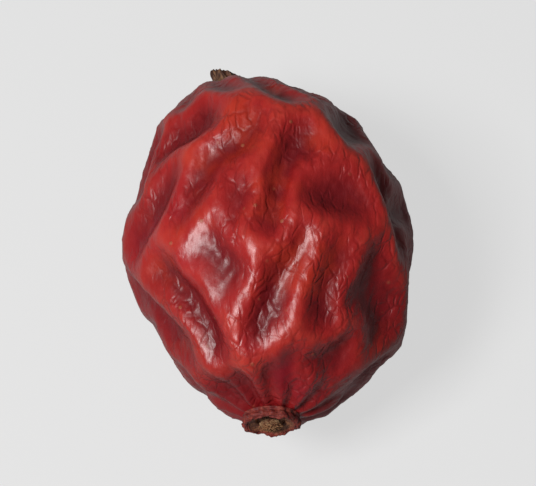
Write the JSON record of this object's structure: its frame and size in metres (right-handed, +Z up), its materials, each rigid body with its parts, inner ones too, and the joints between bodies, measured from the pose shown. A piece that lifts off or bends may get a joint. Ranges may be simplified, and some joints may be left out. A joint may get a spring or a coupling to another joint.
{
  "type": "dried rose hip",
  "caption": "Whole dried rose hip lying on its side: wrinkled red oval fruit with a dry calyx collar and woolly style tuft at one end and a short stalk stub at the other.",
  "frame": {"origin": "on the surface the hip rests on, under the middle of its bounding box", "axes": "+Y along the fruit from the calyx end to the stalk end, +X across it, +Z up"},
  "size_m": [0.0128, 0.0176, 0.0116],
  "materials": {
    "hip_skin": "glossy, wrinkled, dark red with orange-red on the folds",
    "dry_calyx": "dull, dry, brown, with a paler disc",
    "dry_styles": "woolly, matt, beige",
    "dry_stalk": "dull, fibrous, brown"
  },
  "bodies": {
    "root": {"fruit": "hip_skin", "calyx_collar": "dry_calyx", "style_tuft": "dry_styles", "stalk_stub": "dry_stalk"}
  },
  "joints": []
}
